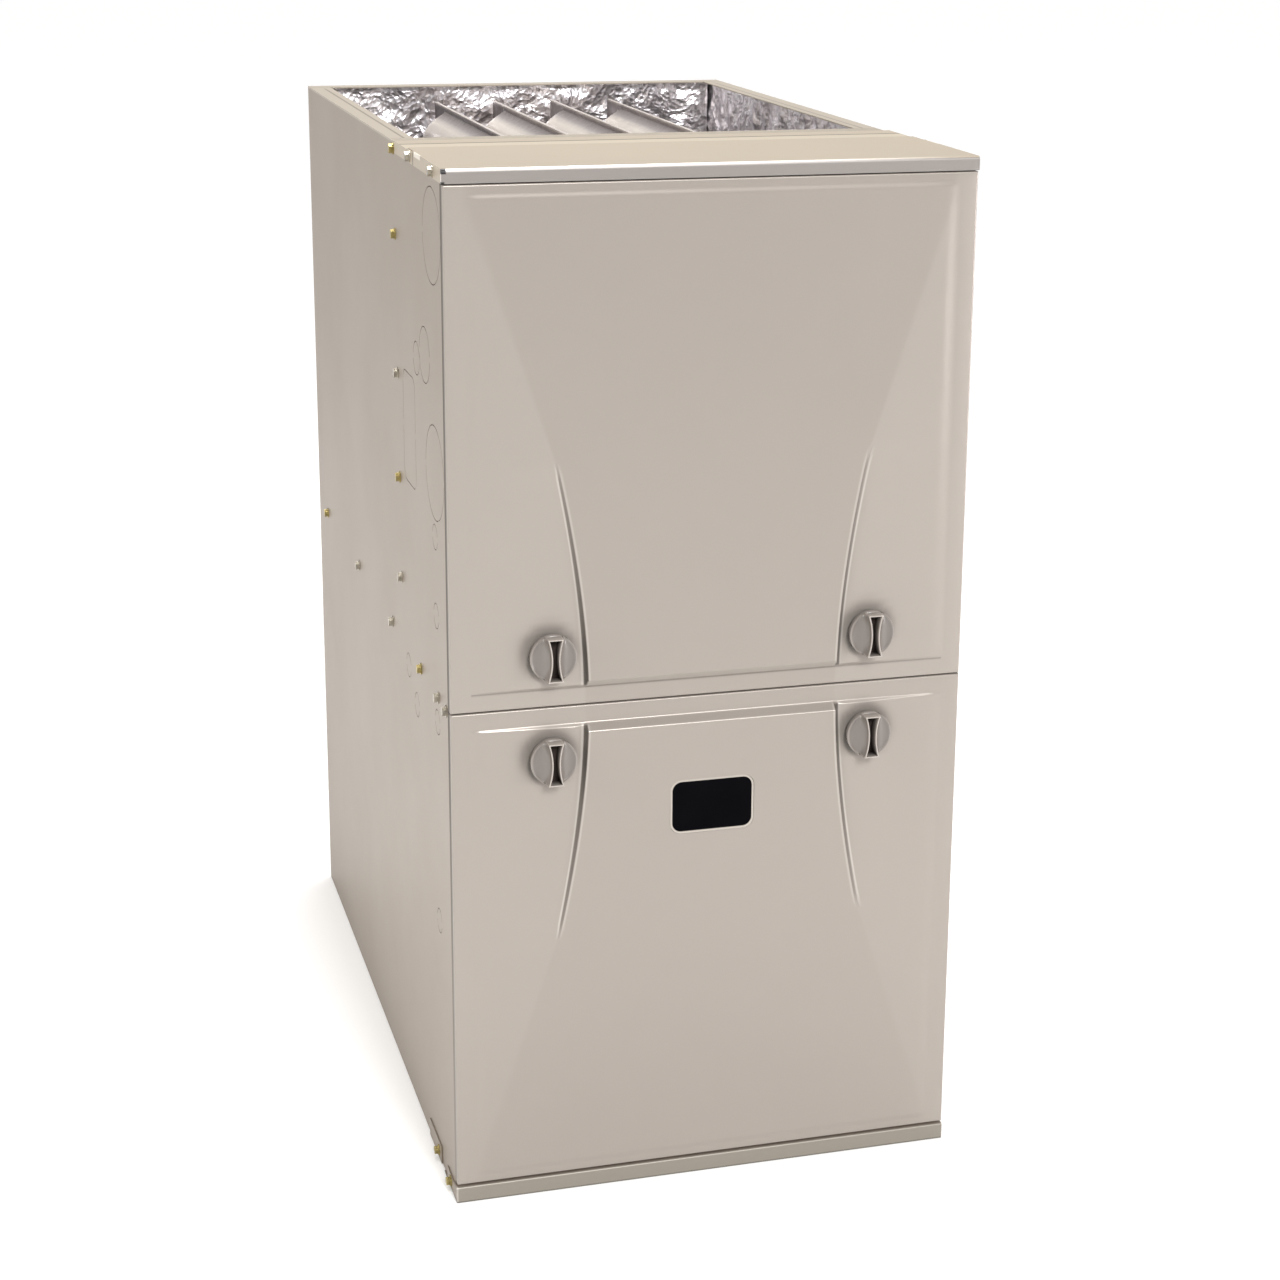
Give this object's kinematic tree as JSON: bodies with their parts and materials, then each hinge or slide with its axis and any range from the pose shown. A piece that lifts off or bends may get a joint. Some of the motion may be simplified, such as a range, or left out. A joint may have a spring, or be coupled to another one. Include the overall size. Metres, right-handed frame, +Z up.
{
  "type": "forced air gas furnace",
  "caption": "Upright gas furnace cabinet with two lift-off doors on quarter-turn knobs, a sight glass, heat exchangers, gas train, vent blower and air blower.",
  "frame": {"origin": "middle of the base, at the centre of the whole object's footprint and on the floor plane", "axes": "+Z up, -Y out of the doors, +X to the right of someone facing the doors"},
  "size_m": [0.455, 0.7678, 0.889],
  "materials": {
    "cabinet_paint": "satin baked paint, warm grey beige",
    "top_paint": "satin baked paint, lighter beige",
    "door_paint": "satin baked paint, warm grey beige",
    "knob_plastic": "semi-matt moulded plastic, taupe grey",
    "galvanised": "zinc-coated sheet",
    "aluminised": "aluminised sheet",
    "foil_blanket": "glass-fibre blanket faced with crumpled foil",
    "coil_metal": "bare finned coil",
    "black_plastic": "matt black moulding",
    "dark_steel": "black enamel",
    "valve_casting": "die-cast body",
    "brass": "turned",
    "ceramic": "pale ceramic",
    "red_plastic": "moulded",
    "grey_plastic": "moulded",
    "white_plastic": "moulded",
    "bare_steel": "ground",
    "can_metal": "drawn can",
    "board": "coated circuit board",
    "zinc": "yellow zinc plate",
    "bright_zinc": "clear zinc plate",
    "smoked_glass": "dark tinted, glossy",
    "gasket_plastic": "pale moulded rim"
  },
  "bodies": {
    "cabinet": {"casing": "cabinet_paint", "top_closure": "top_paint", "cross_plate": "top_paint", "base_rail": "cabinet_paint", "bottom_closure": "cabinet_paint", "blower_shelf": "galvanised", "latch_rail": "galvanised", "cell_panel": "aluminised", "insulation_left": "foil_blanket", "insulation_right": "foil_blanket", "insulation_back": "foil_blanket", "heat_cell_1": "aluminised", "heat_cell_2": "aluminised", "heat_cell_3": "aluminised", "heat_cell_4": "aluminised", "condensing_coil": "coil_metal", "coupling_box": "aluminised", "collector_box": "black_plastic", "burner_box": "aluminised", "burners": "aluminised", "manifold": "dark_steel", "orifices": "brass", "gas_valve": "valve_casting", "igniter": "ceramic", "flame_sensor": "ceramic", "rollout_switch": "black_plastic", "limit_switch": "grey_plastic", "inducer_housing": "black_plastic", "inducer_motor": "dark_steel", "vent_elbow": "black_plastic", "pressure_switch": "black_plastic", "pressure_tube": "red_plastic", "condensate_trap": "white_plastic", "drain_tube": "black_plastic", "blower_housing": "galvanised", "blower_motor": "dark_steel", "motor_mount": "dark_steel", "capacitor": "can_metal", "control_bracket": "galvanised", "control_board": "board", "transformer": "dark_steel", "door_switch": "white_plastic", "junction_box": "galvanised", "zinc_screws": "zinc", "bright_screws": "bright_zinc"},
    "upper_door_body": {"upper_door": "door_paint"},
    "lower_door_body": {"lower_door": "door_paint", "sight_glass": "smoked_glass", "sight_gasket": "gasket_plastic"},
    "upper_left_knob_body": {"upper_left_knob": "knob_plastic"},
    "upper_right_knob_body": {"upper_right_knob": "knob_plastic"},
    "lower_left_knob_body": {"lower_left_knob": "knob_plastic"},
    "lower_right_knob_body": {"lower_right_knob": "knob_plastic"},
    "blower_rotor": {"blower_wheel": "galvanised", "blower_shaft": "bare_steel"},
    "inducer_rotor": {"inducer_wheel": "grey_plastic"},
    "gas_switch_body": {"gas_switch": "black_plastic"},
    "reset_button_body": {"reset_button": "red_plastic"},
    "switch_plunger_body": {"switch_plunger": "black_plastic"}
  },
  "joints": [
    {"name": "upper_door_lift_off", "type": "slide", "parent": "cabinet", "child": "upper_door_body", "axis": [0, -1, 0], "range_m": [0, 0.3]},
    {"name": "lower_door_lift_off", "type": "slide", "parent": "cabinet", "child": "lower_door_body", "axis": [0, -1, 0], "range_m": [0, 0.3]},
    {"name": "upper_left_knob_turn", "type": "hinge", "parent": "upper_door_body", "child": "upper_left_knob_body", "pos_m": [-0.13825, -0.3654, 0.4895], "axis": [0, 1, 0], "range_deg": [0, 90]},
    {"name": "upper_right_knob_turn", "type": "hinge", "parent": "upper_door_body", "child": "upper_right_knob_body", "pos_m": [0.13825, -0.3654, 0.4895], "axis": [0, 1, 0], "range_deg": [0, 90]},
    {"name": "lower_left_knob_turn", "type": "hinge", "parent": "lower_door_body", "child": "lower_left_knob_body", "pos_m": [-0.13825, -0.3654, 0.3995], "axis": [0, 1, 0], "range_deg": [0, 90]},
    {"name": "lower_right_knob_turn", "type": "hinge", "parent": "lower_door_body", "child": "lower_right_knob_body", "pos_m": [0.13825, -0.3654, 0.3995], "axis": [0, 1, 0], "range_deg": [0, 90]},
    {"name": "blower_spin", "type": "hinge", "parent": "cabinet", "child": "blower_rotor", "pos_m": [0, 0.1349, 0.2], "axis": [1, 0, 0], "continuous": true},
    {"name": "inducer_spin", "type": "hinge", "parent": "cabinet", "child": "inducer_rotor", "pos_m": [0, -0.1964, 0.5317], "axis": [0, 1, 0], "continuous": true},
    {"name": "gas_switch_turn", "type": "hinge", "parent": "cabinet", "child": "gas_switch_body", "pos_m": [-0.154, -0.2854, 0.854], "axis": [0, 1, 0], "range_deg": [0, 90]},
    {"name": "reset_push", "type": "slide", "parent": "cabinet", "child": "reset_button_body", "axis": [-1, 0, 0], "range_m": [0, 0.002], "stiffness_N_per_m": 500},
    {"name": "plunger_push", "type": "slide", "parent": "cabinet", "child": "switch_plunger_body", "axis": [0, 1, 0], "range_m": [0, 0.004], "stiffness_N_per_m": 250}
  ]
}
